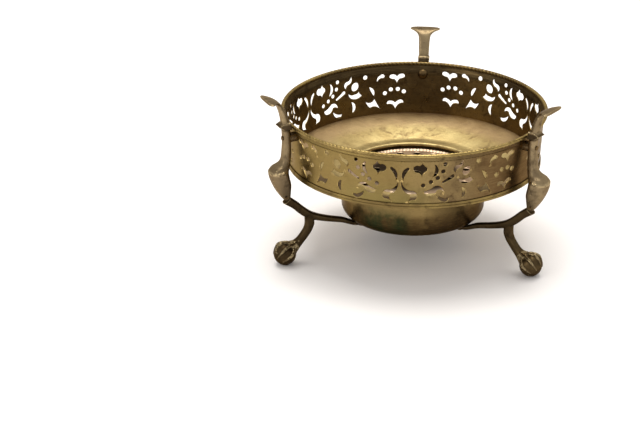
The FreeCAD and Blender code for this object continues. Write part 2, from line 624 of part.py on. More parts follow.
def piercing(edges, middle, height, side, panel):
    """Radial punch for one hole.  edges lie flat at the origin: x away from the panel's middle, y up."""
    inner = size("gallery_foot_radius - gallery_wall") - PUNCH_MARGIN
    outer = size("rim_radius") + PUNCH_MARGIN
    face = Part.Face(Part.Wire(edges))
    if side > 0:
        face = face.mirror(Vector(), Vector(1, 0, 0))
    face.rotate(Vector(), Vector(1, 0, 0), 90)
    face.translate(Vector(0, -inner, 0))
    punch = face.extrude(Vector(0, inner - outer, 0))
    lift = size(f"floor_height + {panel}_panel_lift") + height * stretch_up()
    punch.translate(Vector(0, 0, lift))
    turn = size(f"{panel}_panel_angle") + 90 - side * math.degrees(middle / PATTERN_RADIUS)
    return punch.rotated(Vector(), Vector(0, 0, 1), turn)


def stretch_round():
    """How much wider than the pattern's own millimetres the wall is."""
    return size("gallery_foot_radius + 0.8") / PATTERN_RADIUS


def stretch_up():
    return size("rim_height - floor_height") / PATTERN_HEIGHT


def piercings():
    """All the punches.  Their places follow the wall, and their outlines grow or shrink without bending."""
    scale = min(stretch_round(), stretch_up())
    punches = []
    for panel in PANELS:
        for side in (1, -1):
            for outline in MOTIFS.values():
                middle = sum(x for x, y in outline) / len(outline)
                height = sum(y for x, y in outline) / len(outline)
                points = [Vector((x - middle) * scale, (y - height) * scale, 0) for x, y in outline]
                edges = []
                for corner in range(0, len(points), 2):
                    end = points[(corner + 2) % len(points)]
                    edges.append(Part.Arc(points[corner], points[corner + 1], end).toShape())
                punches.append(piercing(edges, middle, height, side, panel))
            for x, y, radius in DOTS:
                punches.append(piercing([Part.makeCircle(radius * scale)], x, y, side, panel))
    return Part.makeCompound(punches)


punch_set = feature("gallery_punches", piercings())
shank_set = feature("gallery_shanks", Part.makeCompound([stand(gallery_rivet, angle) for angle in LEGS.values()]))
pierced = doc.addObject("Part::Cut", "gallery_with_openwork")
pierced.Base = gallery_sheet
pierced.Tool = punch_set
pierced_gallery = doc.addObject("Part::Cut", "pierced_gallery")
pierced_gallery.Base = pierced
pierced_gallery.Tool = shank_set
pieces.append(pierced_gallery)

# ---------------------------------------------------------------- check and write
doc.recompute()
for item in doc.Objects:
    if "Invalid" in item.State or "Error" in item.State:
        raise RuntimeError(f"{item.Label} did not recompute: {item.State}")
os.makedirs("parts", exist_ok=True)
for piece in pieces:
    if piece.Shape.isNull() or not piece.Shape.isValid():
        raise RuntimeError(f"{piece.Label} has no valid shape")
    print(f"{piece.Label}: {len(piece.Shape.Solids)} solid, {piece.Shape.Volume / 1000:.2f} cm3")
    piece.Shape.exportStep(f"parts/{piece.Label}.step")
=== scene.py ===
"""Looks of the brass table brazier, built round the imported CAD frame.

Points and sizes are in millimetres in the code and become metres in the meshes.  +Z up, origin on the bowl's axis.
"""

import math

import bmesh
import bpy
import numpy as np
from mathutils import Matrix, Vector, geometry


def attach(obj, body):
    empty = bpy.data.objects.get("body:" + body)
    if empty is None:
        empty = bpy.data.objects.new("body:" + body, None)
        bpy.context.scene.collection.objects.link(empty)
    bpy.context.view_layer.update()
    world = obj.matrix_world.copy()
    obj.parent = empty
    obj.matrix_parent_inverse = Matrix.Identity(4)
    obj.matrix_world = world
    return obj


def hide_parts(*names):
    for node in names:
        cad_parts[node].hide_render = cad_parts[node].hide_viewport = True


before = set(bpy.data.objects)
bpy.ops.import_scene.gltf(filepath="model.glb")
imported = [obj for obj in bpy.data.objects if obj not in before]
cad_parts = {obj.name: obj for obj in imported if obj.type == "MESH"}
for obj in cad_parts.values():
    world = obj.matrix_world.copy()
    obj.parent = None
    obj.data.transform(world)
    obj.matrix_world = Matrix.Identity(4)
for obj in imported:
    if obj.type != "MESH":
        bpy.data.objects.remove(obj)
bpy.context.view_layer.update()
MM = 0.001
LEGS = {"back": 90, "left": 210, "right": 330}  # bearing of each leg from +X, in degrees

# Sizes that the looks share with the CAD part.
FLOOR = 75.2  # height of the floor at the wall, where the gallery starts
RIM = 120.2  # top of the rope bead
GALLERY_FOOT = 102.7  # outside radius of the gallery at the floor
GALLERY_FLARE = 112.2  # height at which the gallery starts to flare
GALLERY_TOP = 117.4  # upper end of the gallery's sheet, inside the bead
SHEET = 1.2  # thickness of the floor and of the pot
LIP = 65.7  # height of the floor round the pot
POT_RADIUS = 58.9
POT_BASE = 27.5  # height of the pot's underside
POT_FLANGE = 63.0  # radius of the flange that hangs the pot
GRATE_RADIUS = 53.6
BAR = 112.0  # middle of the upright bars, from the bowl's axis


# ---------------------------------------------------------------- camera, table and light
CAMERA_PLACE = (97.3, -1447.6, 665.6)
CAMERA_FORWARD = (-0.1095, 0.9082, -0.4040)
CAMERA_ROLL = -0.0053  # radians
CAMERA_LENS = 107.42  # on a sensor 36 mm wide


def aim_camera():
    data = bpy.data.cameras.new("camera")
    data.sensor_width = 36
    data.lens = CAMERA_LENS
    data.clip_start, data.clip_end = 0.05, 50
    forward = Vector(CAMERA_FORWARD).normalized()
    level = forward.cross(Vector((0, 0, 1))).normalized()
    upright = level.cross(forward)
    right = level * math.cos(CAMERA_ROLL) + upright * math.sin(CAMERA_ROLL)
    up = upright * math.cos(CAMERA_ROLL) - level * math.sin(CAMERA_ROLL)
    camera = bpy.data.objects.new("camera", data)
    bpy.context.scene.collection.objects.link(camera)
    camera.matrix_world = Matrix((right, up, -forward)).transposed().to_4x4()
    camera.location = Vector(CAMERA_PLACE) * MM
    bpy.context.scene.camera = camera


def lamp(name, place, target, width, height, power, tint):
    """A rectangular lamp, in metres and watts."""
    data = bpy.data.lights.new(name, "AREA")
    data.shape = "RECTANGLE"
    data.size, data.size_y = width, height
    data.energy = power
    data.color = tint
    light = bpy.data.objects.new(name, data)
    bpy.context.scene.collection.objects.link(light)
    light.location = place
    light.rotation_mode = "QUATERNION"
    light.rotation_quaternion = (Vector(target) - Vector(place)).to_track_quat("-Z", "Y")


def light_studio():
    """An overhead lamp, a weak one at the front left, a pale room and a pale table."""
    world = bpy.data.worlds.new("studio")
    bpy.context.scene.world = world
    world.use_nodes = True
    back = world.node_tree.nodes["Background"]
    back.inputs["Color"].default_value = (1.0, 0.985, 0.97, 1)
    back.inputs["Strength"].default_value = 0.9
    lamp("overhead", (-0.05, 0.3, 1.7), (0, 0, 0.05), 1.3, 1.0, 25, (1, 0.985, 0.95))
    lamp("front_left", (-1.5, -1.3, 1.0), (0, 0, 0.06), 0.9, 0.9, 6, (1, 0.97, 0.92))
    bpy.context.scene.view_settings.view_transform = "Standard"
    bpy.context.scene.view_settings.look = "None"
    half = 9  # metres
    mesh = bpy.data.meshes.new("table_top")
    mesh.from_pydata([(-half, -half, 0), (half, -half, 0), (half, half, 0), (-half, half, 0)], [], [(0, 1, 2, 3)])
    table = bpy.data.objects.new("table_top", mesh)
    bpy.context.scene.collection.objects.link(table)
    paper = Finish("pale_paper")
    paper.shader.inputs["Base Color"].default_value = (0.88, 0.855, 0.84, 1)
    paper.shader.inputs["Roughness"].default_value = 0.7
    paper.shader.inputs["Specular IOR Level"].default_value = 0.2
    mesh.materials.append(paper.material)


# ---------------------------------------------------------------- finishes
class Finish:
    """A material made of nodes.  An input is given a number, a colour or another node's output."""

    def __init__(self, name):
        self.material = bpy.data.materials.new(name)
        self.material.use_nodes = True
        self.tree = self.material.node_tree
        self.shader = self.tree.nodes["Principled BSDF"]
        self.place = self.add("ShaderNodeTexCoord").outputs["Object"]

    def add(self, kind, inputs=None, **settings):
        node = self.tree.nodes.new(kind)
        for key, value in settings.items():
            setattr(node, key, value)
        for key, value in (inputs or {}).items():
            self.give(node.inputs[key], value)
        return node

    def give(self, socket, value):
        if isinstance(value, bpy.types.NodeSocket):
            self.tree.links.new(value, socket)
        else:
            socket.default_value = value

    def maths(self, operation, a, b=0.0):
        return self.add("ShaderNodeMath", {0: a, 1: b}, operation=operation).outputs[0]

    def times(self, a, b):
        return self.maths("MULTIPLY", a, b)

    def plus(self, a, b):
        return self.maths("ADD", a, b)

    def noise(self, where, scale, detail=3.0, rough=0.55, twist=0.0):
        inputs = {"Vector": where, "Scale": scale, "Detail": detail, "Roughness": rough, "Distortion": twist}
        return self.add("ShaderNodeTexNoise", inputs).outputs["Fac"]

    def band(self, value, low, high):
        """0 below low, 1 above high (or the other way round where low is larger), with a soft step between."""
        inputs = {"Value": value, "From Min": low, "From Max": high}
        return self.add("ShaderNodeMapRange", inputs, interpolation_type="SMOOTHSTEP", clamp=True).outputs["Result"]

    def level(self, low, high):
        """A band over the height above the table, in millimetres."""
        return self.band(self.axes()[2], low * MM, high * MM)

    def blend(self, factor, a, b):
        node = self.add("ShaderNodeMix", data_type="RGBA", blend_type="MIX")
        for socket, value in ((node.inputs[0], factor), (node.inputs[6], a), (node.inputs[7], b)):
            self.give(socket, value)
        return node.outputs[2]

    def axes(self):
        parts = self.add("ShaderNodeSeparateXYZ", {0: self.place})
        return parts.outputs[0], parts.outputs[1], parts.outputs[2]

    def radius(self):
        """Distance from the bowl's axis, in metres."""
        x, y, _ = self.axes()
        return self.maths("SQRT", self.plus(self.times(x, x), self.times(y, y)))

    def off_axis(self):
        """The same distance, kept above zero so that it can divide."""
        return self.maths("MAXIMUM", self.radius(), MM)

    def towards(self, degrees):
        """Cosine of the angle between a point's bearing from the bowl's axis and this bearing."""
        x, y, _ = self.axes()
        turn = math.radians(degrees)
        along = self.plus(self.times(x, math.cos(turn)), self.times(y, math.sin(turn)))
        return self.maths("DIVIDE", along, self.off_axis())

    def turned_grain(self, fine=900.0, long=7.0):
        """Streaks that run round the bowl's axis, as a turned or rubbed sheet has."""
        x, y, z = self.axes()
        radius = self.off_axis()
        inputs = {
            0: self.times(self.maths("DIVIDE", x, radius), long),
            1: self.times(self.maths("DIVIDE", y, radius), long),
            2: self.times(self.plus(radius, self.times(z, 1.3)), fine),
        }
        where = self.add("ShaderNodeCombineXYZ", inputs).outputs[0]
        return self.noise(where, 1.0, 4.0, 0.65)


def colour(red, green, blue):
    """Node colour of an sRGB colour given from 0 to 255."""
    shares = [c / 255 for c in (red, green, blue)]
    return tuple(c / 12.92 if c <= 0.04 else ((c + 0.055) / 1.055) ** 2.4 for c in shares) + (1,)


def tones(*rows):
    """Node colours from the darkest patina to the brightest metal."""
    return [colour(*row) for row in rows]


def aged_brass(name, shades, rough, grain="cast", stain=None, wear_and_highlight=None, pits=0.5, extra=None):
    """Aged brass.

    shades run from the darkest patina to the brightest metal, and rough is (polished, dull).  extra(made, tone) gives
    the tone back changed, stain(made) gives a tint and its amount, and wear is the colour and amount of the bright
    edges: rubbed wear with a painted highlight on it.
    """
    dark, mid, light = shades
    made = Finish(name)
    cloud = made.noise(made.place, 28.0, 4.0, 0.6, 0.6)
    blotch = made.noise(made.place, 110.0, 5.0, 0.62, 0.4)
    speck = made.noise(made.place, 620.0, 3.0, 0.6)
    tone = made.blend(made.band(cloud, 0.36, 0.66), mid, light)
    tone = made.blend(made.times(made.band(blotch, 0.5, 0.72), 0.75), tone, dark)
    tone = made.blend(made.times(made.band(speck, 0.58, 0.75), 0.45), tone, dark)
    if extra:
        tone = extra(made, tone)
    if grain == "turned":
        streak = made.turned_grain()
        fine = made.turned_grain(3200.0, 19.0)
        tone = made.blend(made.times(made.band(streak, 0.45, 0.8), 0.5), tone, light)
        tone = made.blend(made.times(made.band(fine, 0.52, 0.78), 0.4), tone, dark)
    else:
        streak = made.noise(made.place, 260.0, 4.0, 0.7, 1.2)
        fine = made.noise(made.place, 1900.0, 2.0, 0.5)
    if stain:
        tint, amount = stain(made)
        tone = made.blend(amount, tone, tint)
    dull = made.plus(made.times(blotch, 0.6), made.times(speck, 0.4))
    reach = {"Value": dull, "From Min": 0.32, "From Max": 0.68, "To Min": rough[0], "To Max": rough[1]}
    finish_rough = made.add("ShaderNodeMapRange", reach).outputs["Result"]
    if wear_and_highlight:
        bright, amount = wear_and_highlight
        # edges stored on the mesh: rubbed wear with a painted highlight on it
        edge = made.add("ShaderNodeAttribute", attribute_name="wear_and_highlight").outputs["Fac"]
        rubbed = made.times(edge, amount)
        if grain == "cast":
            # raised points: rubbed bright, with a painted highlight on them
            point = made.add("ShaderNodeNewGeometry").outputs["Pointiness"]
            rubbed = made.maths("MAXIMUM", rubbed, made.times(made.band(point, 0.51, 0.55), amount))
            # the hollows darken: partly the dark patina that gathers there, partly painted shade
            hollow = made.times(made.band(point, 0.49, 0.44), 0.8)
            tone = made.blend(hollow, tone, tuple(0.35 * c for c in dark[:3]) + (1,))
        worn = made.times(rubbed, made.band(speck, 0.7, 0.35))
        tone = made.blend(worn, tone, bright)
        finish_rough = made.maths("SUBTRACT", finish_rough, made.times(worn, 0.12))
    made.give(made.shader.inputs["Base Color"], tone)
    made.give(made.shader.inputs["Roughness"], finish_rough)
    made.shader.inputs["Metallic"].default_value = 1.0
    made.shader.inputs["Specular Tint"].default_value = (0.62, 0.56, 0.5, 1)
    relief = made.plus(made.times(streak, 0.35), made.times(fine, 0.12))
    relief = made.plus(relief, made.times(made.noise(made.place, 75.0, 2.0, 0.5), 1.6))
    relief = made.plus(relief, made.times(blotch, pits))
    bump = made.add("ShaderNodeBump", {"Strength": 0.35, "Distance": 0.0006, "Height": relief})
    made.give(made.shader.inputs["Normal"], bump.outputs["Normal"])
    return made.material


def gallery_front(made, tone):
    """Painted highlight in yellow at the front and left, painted shade in brown towards the right-hand leg and dark
    under the rim at the back.
    """
    # painted highlight: yellow where the front and left face the light
    front_highlight = made.times(made.band(made.towards(230), 0.5, 0.95), 0.8)
    tone = made.blend(front_highlight, tone, colour(136, 116, 68))
    # painted shade: brown towards the right-hand leg
    brown = made.times(made.band(made.towards(322), 0.88, 0.99), 0.85)
    tone = made.blend(brown, tone, colour(92, 70, 44))
    # painted shade: dark under the rim at the back
    top = made.times(made.band(made.towards(90), 0.1, 0.6), made.level(108, 113))
    tone = made.blend(made.times(top, 0.8), tone, colour(42, 30, 18))
    low = made.times(made.band(made.towards(262), 0.9, 0.99), made.level(98, 82))
    return made.blend(made.times(low, 0.3), tone, colour(116, 112, 64))


def bead_back_shade(made, tone):
    """Painted shade on the bead at the back of the rim."""
    return made.blend(made.times(made.band(made.towards(86), 0.35, 0.85), 0.85), tone, colour(72, 57, 37))


def collar_shade(made, tone):
    """Painted shade round the collar, at the height of the rim."""
    low = made.times(made.level(115.5, 117.5), made.level(122.8, 121.5))
    return made.blend(made.times(low, 0.75), tone, colour(46, 34, 22))


def grate_dark_middle(made):
    """Near-black over the middle of the grate, thinning towards its rim."""
    ring = made.plus(made.radius(), made.times(made.noise(made.place, 45.0, 4.0), 0.008))
    return colour(20, 15, 11), made.times(made.band(ring, 0.047, 0.037), 0.93)


def pot_light_and_shade(made, tone):
    """A painted highlight in a lighter band round the pot's side, and painted shade in brown on its belly and towards
    the right-hand leg.
    """
    # painted highlight: a lighter band round the pot's side
    side = made.times(made.level(44, 50), made.level(62, 56))
    tone = made.blend(made.times(side, 0.6), tone, colour(150, 128, 82))
    # painted shade: brown on the belly, which faces down
    belly = made.times(made.level(46, 36), made.level(27, 31))
    tone = made.blend(made.times(belly, 0.75), tone, colour(48, 34, 18))
    # painted shade: brown towards the right-hand leg
    return made.blend(made.times(made.band(made.towards(318), 0.8, 0.97), 0.6), tone, colour(52, 38, 24))


def pot_stain(made):
    """Green patina low on the pot's outside, at the front and left."""
    patch = made.times(made.band(made.towards(250), 0.9, 0.995), made.level(56, 44))
    cloud = made.band(made.noise(made.place, 60.0, 4.0, 0.6, 0.5), 0.3, 0.62)
    return colour(30, 48, 28), made.times(made.times(patch, cloud), 0.8)


def floor_tone(made, tone):
    """Golden round the pot, partly a painted highlight, pinkish beige further out, a painted shadow on the near side,
    and darker at the wall.
    """
    ring = made.plus(made.radius(), made.times(made.noise(made.place, 22.0, 3.0), 0.012))
    # golden inside this ring, partly a painted highlight, and pinkish beige beyond it
    tone = made.blend(made.times(made.band(ring, 0.082, 0.094), 0.6), tone, colour(188, 158, 122))
    # painted shadow of the front wall over the near side of the floor
    near = made.times(made.band(made.towards(268), 0.2, 0.7), made.band(ring, 0.062, 0.074))
    tone = made.blend(made.times(near, 0.95), tone, colour(84, 68, 58))
    return made.blend(made.times(made.band(ring, 0.1, 0.108), 0.6), tone, colour(130, 104, 74))


# ---------------------------------------------------------------- mesh helpers
def finished(name, mesh, nodes, material, body="brazier", sharp=35):
    """The object of a mesh in metres, riding on its body and standing for CAD nodes.

    sharp is the angle in degrees above which an edge stays sharp, or None where the mesh has its own normals.
    """
    if sharp:
        mesh.polygons.foreach_set("use_smooth", [True] * len(mesh.polygons))
        mesh.set_sharp_from_angle(angle=math.radians(sharp))
    mesh.materials.clear()
    mesh.materials.append(material)
    piece = bpy.data.objects.new(name, mesh)
    bpy.context.scene.collection.objects.link(piece)
    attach(piece, body)
    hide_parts(*nodes)


def mesh_of(name, points, faces):
    mesh = bpy.data.meshes.new(name)
    mesh.from_pydata((np.asarray(points, float) * MM).tolist(), [], faces)
    mesh.validate()
    return mesh


def softened(corners, radius, steps=3):
    """A closed outline with each corner rounded off."""
    corners = [Vector(c) for c in corners]
    out = []
    for before, corner, after in zip(corners[-1:] + corners[:-1], corners, corners[1:] + corners[:1]):
        back, on = before - corner, after - corner
        turn = math.pi - back.angle(on, math.pi)
        cut = min(radius * math.tan(min(turn, 2.6) / 2), 0.45 * back.length, 0.45 * on.length)
        if turn < 0.12 or cut < 0.01:
            out.append(corner)
            continue
        start, end = corner + back.normalized() * cut, corner + on.normalized() * cut
        for step in range(steps + 1):
            t = step / steps
            out.append(start * (1 - t) ** 2 + corner * 2 * t * (1 - t) + end * t**2)
    return [tuple(p) for p in out]


def bowed(start, end, radius, side, count):
    """Points along a shallow arc from start up to, not including, end; side 1 bulges left of the way."""
    start, end = Vector(start), Vector(end)
    chord = end - start
    half = math.asin(chord.length / 2 / radius)
    across = Vector((-chord.y, chord.x)).normalized() * side
    centre = (start + end) / 2 - across * radius * math.cos(half)
    points = []
    for step in range(count):
        turn = half * (1 - 2 * step / count)
        points.append(tuple(centre + across * radius * math.cos(turn) - chord.normalized() * radius * math.sin(turn)))
    return points


def turns(count):
    """Angles evenly spaced over one full turn, in radians."""
    return np.linspace(0, 2 * math.pi, count, endpoint=False)


def circle(count):
    """Points round a circle of radius 1."""
    return np.stack([np.cos(turns(count)), np.sin(turns(count))], 1)


def round_arc(centre, radius, first, last, count):
    """Points of an arc, both ends included, its angles in degrees."""
    angles = [math.radians(first + (last - first) * step / count) for step in range(count + 1)]
    return [(centre[0] + radius * math.cos(t), centre[1] + radius * math.sin(t)) for t in angles]


def lathe(name, outline, around=360):
    """A mesh turned about Z from a closed outline of (radius, height)."""
    outline = np.array(outline, float)
    turn = turns(around)
    count = len(outline)
    points = np.zeros((count, around, 3))
    points[:, :, 0] = outline[:, :1] * np.cos(turn)
    points[:, :, 1] = outline[:, :1] * np.sin(turn)
    points[:, :, 2] = outline[:, 1:]
    faces = []
    for i in range(count):
        j = (i + 1) % count
        if outline[i, 0] < 1e-6 and outline[j, 0] < 1e-6:
            continue
        for a in range(around):
            b = (a + 1) % around
            quad = [i * around + a, i * around + b, j * around + b, j * around + a]
            if outline[i, 0] < 1e-6:
                quad = [i * around, quad[2], quad[3]]
            elif outline[j, 0] < 1e-6:
                quad = [quad[0], quad[1], j * around]
            faces.append(quad)
    return outward(mesh_of(name, points.reshape(-1, 3), faces))


def outward(mesh):
    """The mesh with loose points dropped and its faces turned outwards."""
    work = bmesh.new()
    work.from_mesh(mesh)
    bmesh.ops.delete(work, geom=[v for v in work.verts if not v.link_faces], context="VERTS")
    bmesh.ops.recalc_face_normals(work, faces=work.faces)
    if work.calc_volume(signed=True) < 0:
        bmesh.ops.reverse_faces(work, faces=work.faces)
    work.to_mesh(mesh)
    work.free()
    return mesh


# ---------------------------------------------------------------- pierced sheets
def through(a, b, c, step=0.75):
    """Points along the arc a, b, c, without c."""
    a, b, c = np.array(a, float), np.array(b, float), np.array(c, float)
    ab, ac = b - a, c - a
    cross = 2 * (ab[0] * ac[1] - ab[1] * ac[0])
    if abs(cross) < 1e-6:
        return [a]
    centre = a + np.array([ac[1] * (ab @ ab) - ab[1] * (ac @ ac), ab[0] * (ac @ ac) - ac[0] * (ab @ ab)]) / cross
    radius = np.linalg.norm(a - centre)
    first, middle, last = (math.atan2(p[1] - centre[1], p[0] - centre[0]) for p in (a, b, c))
    sweep = (last - first) % (2 * math.pi)
    if (middle - first) % (2 * math.pi) > sweep:
        sweep -= 2 * math.pi
    count = max(2, round(abs(sweep) * radius / step))
    angles = [first + sweep * i / count for i in range(count)]
    return [centre + radius * np.array([math.cos(t), math.sin(t)]) for t in angles]


def area_of(ring):
    x, y = ring[:, 0], ring[:, 1]
    return 0.5 * float(np.sum(x * np.roll(y, -1) - np.roll(x, -1) * y))


def widened(ring, width):
    """A counter-clockwise ring moved outwards, without the points that would fold over."""
    on = np.roll(ring, -1, axis=0) - ring
    on /= np.linalg.norm(on, axis=1)[:, None]
    out = np.stack([on[:, 1], -on[:, 0]], 1)
    both = out + np.roll(out, 1, axis=0)
    both /= np.maximum(1 + np.sum(out * np.roll(out, 1, axis=0), axis=1), 0.7)[:, None]
    moved = ring + both * width
    start, way = ring, np.roll(ring, -1, axis=0) - ring
    t = np.einsum("ijk,jk->ij", moved[:, None] - start[None], way) / np.sum(way**2, axis=1)
    near = start[None] + np.clip(t, 0, 1)[:, :, None] * way[None]
    gap = np.linalg.norm(moved[:, None] - near, axis=2).min(1)
    return moved[gap > 0.9 * width]


def inside(ring, points):
    """Which points lie inside a ring."""
    found = np.zeros(len(points), bool)
    low, high = ring.min(0), ring.max(0)
    near = np.where(np.all((points > low) & (points < high), axis=1))[0]
    if len(near) == 0:
        return found
    x, y = points[near, 0][:, None], points[near, 1][:, None]
    x0, y0 = ring[:, 0][None], ring[:, 1][None]
    x1, y1 = np.roll(ring[:, 0], -1)[None], np.roll(ring[:, 1], -1)[None]
    crosses = (y0 > y) != (y1 > y)
    with np.errstate(divide="ignore", invalid="ignore"):
        at = x0 + (y - y0) * (x1 - x0) / (y1 - y0)
    found[near] = np.sum(crosses & (x < at), axis=1) % 2 == 1
    return found


def pierced(name, border, field, holes, bevel, place, seam=None):
    """A sheet with bevelled holes.

    place(flat points, side, sunk) gives points and normals in space for side 0 (outer) and 1 (inner), where sunk marks
    the points of the holes' own edges.  Points on the seam's far edge join those on its near edge.
    """
    rings = [ring if area_of(ring) > 0 else ring[::-1] for ring in holes]
    lips = [widened(ring, bevel) for ring in rings]
    free = np.ones(len(field), bool)
    for lip in lips:
        free &= ~inside(widened(lip, 0.45), field)
    flat, edges = [], []

    def add_ring(ring):
        first = len(flat)
        flat.extend(map(tuple, ring))
        edges.extend((first + i, first + (i + 1) % len(ring)) for i in range(len(ring)))
        return range(first, first + len(ring))

    add_ring(border)
    sunk_index = set()
    for ring, lip in zip(rings, lips):
        sunk_index.update(add_ring(ring))
        add_ring(lip)
    flat.extend(map(tuple, field[free]))
    made, _, triangles, origin, _, _ = geometry.delaunay_2d_cdt([Vector(p) for p in flat], edges, [], 0, 1e-4, True)
    made = np.array([tuple(p) for p in made])
    sunk = np.array([any(i in sunk_index for i in source) for source in origin])
    triangles = np.array([t for t in triangles if len(t) == 3])
    middle = made[triangles].mean(1)
    keep = inside(border, middle)
    for ring in rings:
        keep &= ~inside(ring, middle)
    triangles = triangles[keep]
    join = np.arange(len(made))
    if seam:
        near = {round(made[i, 1], 3): i for i in np.where(abs(made[:, 0] - seam[0]) < 1e-3)[0]}
        for i in np.where(abs(made[:, 0] - seam[1]) < 1e-3)[0]:
            join[i] = near[round(made[i, 1], 3)]
    triangles = join[triangles]
    outer, outer_normal = place(made, 0, sunk)
    inner, inner_normal = place(made, 1, sunk)
    total = len(made)
    used = {}
    for a, b, c in triangles.tolist():
        for edge in ((a, b), (b, c), (c, a)):
            used[edge] = True
    walls = [(b, a, a + total, b + total) for a, b in used if (b, a) not in used]
    faces = [tuple(t) for t in triangles.tolist()]
    faces += [(a + total, c + total, b + total) for a, b, c in faces]
    shown = sunk[triangles].any(1)
    # bevels round the holes: rubbed bright and given a painted highlight
    bevelled = shown.tolist() + [False] * len(triangles) + [sunk[a] and sunk[b] for b, a, _, _ in walls]
    mesh = bpy.data.meshes.new(name)
    mesh.from_pydata((np.concatenate([outer, inner]) * MM).tolist(), [], faces + walls)
    mesh.attributes.new("wear_and_highlight", "FLOAT", "FACE").data.foreach_set("value", np.array(bevelled, np.float32))
    mesh.polygons.foreach_set("use_smooth", [True] * len(mesh.polygons))
    mesh.set_sharp_from_angle(angle=math.radians(20))
    normals = np.zeros((len(mesh.loops), 3))
    both = np.concatenate([outer_normal, inner_normal])
    flat_faces = np.concatenate([~shown, ~shown, np.zeros(len(walls), bool)])
    loop = 0
    for face, even in zip(faces + walls, flat_faces):
        if even:
            normals[loop : loop + 3] = both[list(face)]
        loop += len(face)
    mesh.normals_split_custom_set(normals.tolist())
    return mesh


# The openwork is half of one panel, mirrored about the panel's middle and repeated, as on the CAD part.  Each motif
# runs corner, point on the arc, corner and so on, along the wall from the panel's middle and up from the floor.  A dot
# also has its radius.  Each panel has the bearing of its middle in degrees, and how far it is lifted.
PANELS = ((268.2, -0.4), (152.2, -1.4), (27.0, 1.6))
MOTIFS = [
    [(7.3, 32.0), (4.5, 27.8), (2.7, 22.9), (2.0, 28.6), (5.3, 33.1), (6.8, 33.4)],
    [
        (1.4, 21.6), (3.6, 16.8), (8.2, 14.0), (13.4, 10.6), (12.0, 6.4), (9.4, 6.0), (6.4, 4.8), (8.2, 7.6),
        (7.6, 10.6), (2.2, 15.2),
    ],
    [
        (17.5, 37.7), (16.6, 36.0), (14.9, 34.9), (11.3, 34.5), (10.4, 31.8), (12.0, 29.9), (14.8, 29.3),
        (16.1, 28.2), (17.0, 26.6), (17.9, 28.7), (19.4, 30.1), (21.0, 32.4), (19.3, 34.6), (18.2, 36.0),
    ],
    [(26.7, 36.0), (29.8, 30.7), (24.9, 25.3), (27.1, 30.9)],
    [(48.5, 38.0), (49.1, 34.4), (46.5, 31.6), (44.2, 30.4), (43.2, 28.2), (41.6, 31.4), (44.2, 34.2), (47.1, 35.4)],
    [(54.2, 31.9), (55.3, 27.7), (50.1, 25.0), (49.0, 29.3)],
    [(79.4, 34.5), (78.3, 36.5), (75.8, 35.8), (73.1, 33.6), (72.9, 30.0), (74.7, 32.7), (77.4, 33.4), (78.7, 33.6)],
    [(33.4, 21.7), (36.8, 23.8), (39.9, 26.1), (42.2, 26.0), (41.5, 23.7), (37.7, 21.7), (33.9, 19.9), (32.4, 20.5)],
    [
        (45.6, 23.2), (47.4, 19.4), (50.6, 17.8), (55.2, 18.0), (58.4, 20.0), (56.4, 21.8), (55.6, 23.8),
        (53.8, 22.0), (51.6, 21.8), (48.6, 21.4),
    ],
    [(65.6, 26.2), (69.8, 22.8), (69.6, 18.2), (67.2, 22.2)],
    [
        (18.6, 13.4), (22.4, 14.6), (27.2, 17.8), (32.2, 16.8), (34.2, 12.6), (31.6, 14.4), (28.8, 14.0),
        (27.0, 11.2), (23.0, 9.8), (19.8, 11.0),
    ],
    [(28.9, 10.4), (30.8, 6.0), (34.4, 4.0), (36.8, 4.2), (38.1, 6.6), (33.4, 7.3)],
    [(48.4, 15.4), (52.2, 10.8), (48.8, 5.8), (49.4, 10.8)],
    [(62.2, 13.4), (66.4, 12.2), (70.0, 15.2), (72.2, 10.8), (75.0, 5.8), (71.4, 8.4), (66.0, 7.8), (63.8, 10.2)],
    [
        (83.8, 33.4), (84.4, 35.4), (86.2, 36.0), (88.6, 35.6), (90.2, 34.0), (92.2, 35.8), (94.6, 36.4),
        (96.6, 35.6), (96.8, 33.6), (94.8, 32.6), (92.6, 32.2), (91.2, 30.6), (90.2, 28.6), (89.2, 30.6),
        (88.0, 32.0), (85.8, 32.2),
    ],
    [
        (81.4, 9.6), (82.2, 12.2), (84.2, 12.6), (86.8, 12.0), (88.6, 10.6), (90.6, 12.2), (92.8, 13.2),
        (95.2, 12.4), (95.8, 10.4), (93.4, 10.2), (91.2, 9.0), (89.8, 7.4), (88.8, 5.4), (87.8, 7.4), (86.6, 9.0),
        (84.2, 9.8),
    ],
]
DOTS = [
    (34.8, 35.9, 1.7), (33.4, 29.8, 1.7), (29.3, 24.5, 1.7), (24.0, 21.4, 1.7), (18.0, 18.6, 1.7),
    (62.0, 35.4, 1.9), (79.6, 19.6, 1.8), (84.9, 22.7, 1.8), (91.0, 22.8, 1.8), (96.2, 20.5, 1.8),
]
WALL_ARC = 103.5  # radius at which lengths along the wall are measured
# The gallery's wall as (height, radius), with a raised line under the rim.
WALL_OUTSIDE = [
    (FLOOR, GALLERY_FOOT), (GALLERY_FLARE, 104.8), (113.5, 104.95), (113.9, 105.15), (114.3, 105.75),
    (114.8, 106.0), (115.3, 105.85), (115.7, 105.45), (116.2, 105.5), (GALLERY_TOP, 106.6),
]
WALL_INSIDE = [(FLOOR, 101.7), (GALLERY_FLARE, 103.8), (GALLERY_TOP, 105.6)]


def profile_at(profile, where, reach):
    """Value and slope of a profile at these places, the slope taken over reach to each side."""
    places, values = np.array(profile, float).T
    rise = np.interp(where + reach, places, values) - np.interp(where - reach, places, values)
    return np.interp(where, places, values), rise / (2 * reach)


def motif_ring(points):
    """Outline of a motif whose corners are joined by arcs."""
    ring = []
    for corner in range(0, len(points), 2):
        ring += through(points[corner], points[corner + 1], points[(corner + 2) % len(points)])
    return np.array(ring)


